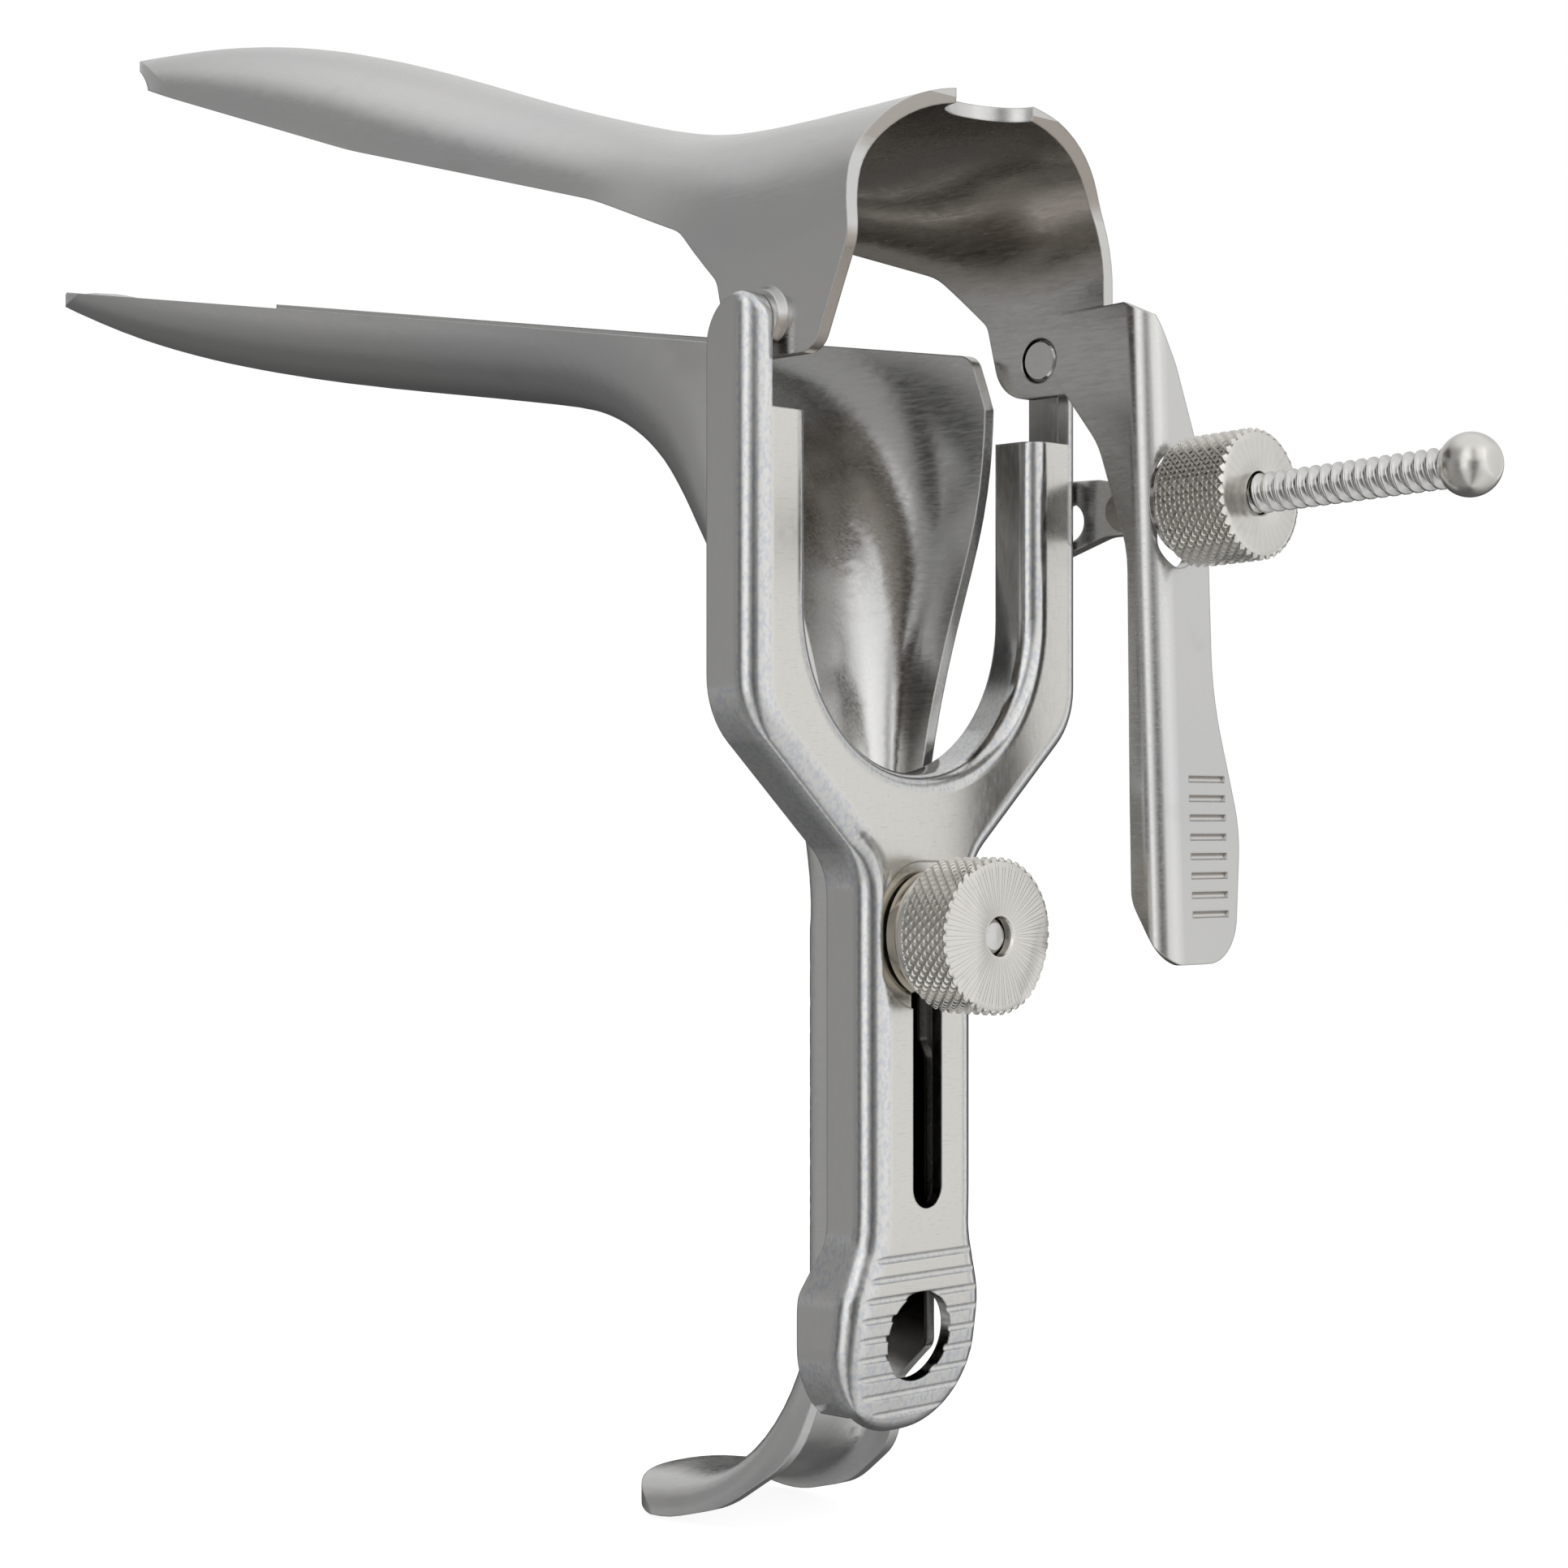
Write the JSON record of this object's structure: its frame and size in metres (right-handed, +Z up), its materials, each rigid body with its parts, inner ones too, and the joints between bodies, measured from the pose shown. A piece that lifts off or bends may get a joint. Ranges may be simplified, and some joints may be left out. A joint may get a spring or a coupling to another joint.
{
  "type": "bivalve speculum",
  "caption": "Bivalve speculum: two curved blades on a forked handle frame, the lower one lifting on a clamp screw and the upper one tilting by a thumb lever and angle screw.",
  "frame": {"origin": "centre of the grip hole, in the middle of its wall", "axes": "+Z up along the handle, +Y along the blades away from the operator, +X towards the thumb lever"},
  "size_m": [0.0526, 0.1827, 0.1567],
  "materials": {
    "pressed_steel": "satin with polished bends",
    "turned_steel": "bright turned, knurled rims"
  },
  "bodies": {
    "frame": {"frame": "pressed_steel", "left_pivot_screw": "turned_steel", "right_pivot_screw": "turned_steel", "screw_lug": "pressed_steel", "lug_rivet": "turned_steel", "rod_pin": "turned_steel"},
    "lower_blade": {"lower_blade": "pressed_steel", "clamp_stud": "turned_steel"},
    "clamp_washer": {"clamp_washer": "turned_steel"},
    "clamp_nut": {"clamp_nut": "turned_steel"},
    "upper_blade": {"upper_blade": "pressed_steel"},
    "angle_rod": {"threaded_rod": "turned_steel", "rod_ball": "turned_steel"},
    "angle_washer": {"angle_washer": "turned_steel"},
    "angle_nut": {"angle_nut": "turned_steel"}
  },
  "joints": [
    {"name": "lower_blade_lift", "type": "slide", "parent": "frame", "child": "lower_blade", "axis": [0, 0, -1], "range_m": [0, 0.0236]},
    {"name": "clamp_washer_slide", "type": "slide", "parent": "lower_blade", "child": "clamp_washer", "axis": [0, -1, 0], "range_m": [0, 0.001]},
    {"name": "clamp_nut_turn", "type": "hinge", "parent": "clamp_washer", "child": "clamp_nut", "pos_m": [0, -0.00665, 0.0376], "axis": [0, -1, 0], "range_deg": [0, 285]},
    {"name": "blade_tilt", "type": "hinge", "parent": "frame", "child": "upper_blade", "pos_m": [0, 0.00015, 0.0932], "axis": [1, 0, 0], "range_deg": [-11, 8]},
    {"name": "rod_swing", "type": "hinge", "parent": "frame", "child": "angle_rod", "pos_m": [0.02175, -0.00815, 0.0781], "axis": [1, 0, 0], "range_deg": [-11, 8]},
    {"name": "angle_washer_slide", "type": "slide", "parent": "angle_rod", "child": "angle_washer", "axis": [0, -0.9993, 0.0384], "range_m": [-0.00216, 0.00297]},
    {"name": "angle_nut_turn", "type": "hinge", "parent": "angle_washer", "child": "angle_nut", "pos_m": [0.02175, -0.01914, 0.07852], "axis": [0, -0.9993, 0.0384], "range_deg": [-610.9, 839.6]}
  ],
  "couplings": [
    {"joint": "clamp_nut_turn", "follows": "clamp_washer_slide", "rad_per_m": 4947.4},
    {"joint": "rod_swing", "follows": "blade_tilt", "ratio": 1},
    {"joint": "angle_washer_slide", "follows": "blade_tilt", "m_per_rad": -0.01541},
    {"joint": "angle_nut_turn", "follows": "blade_tilt", "ratio": -76.239}
  ]
}
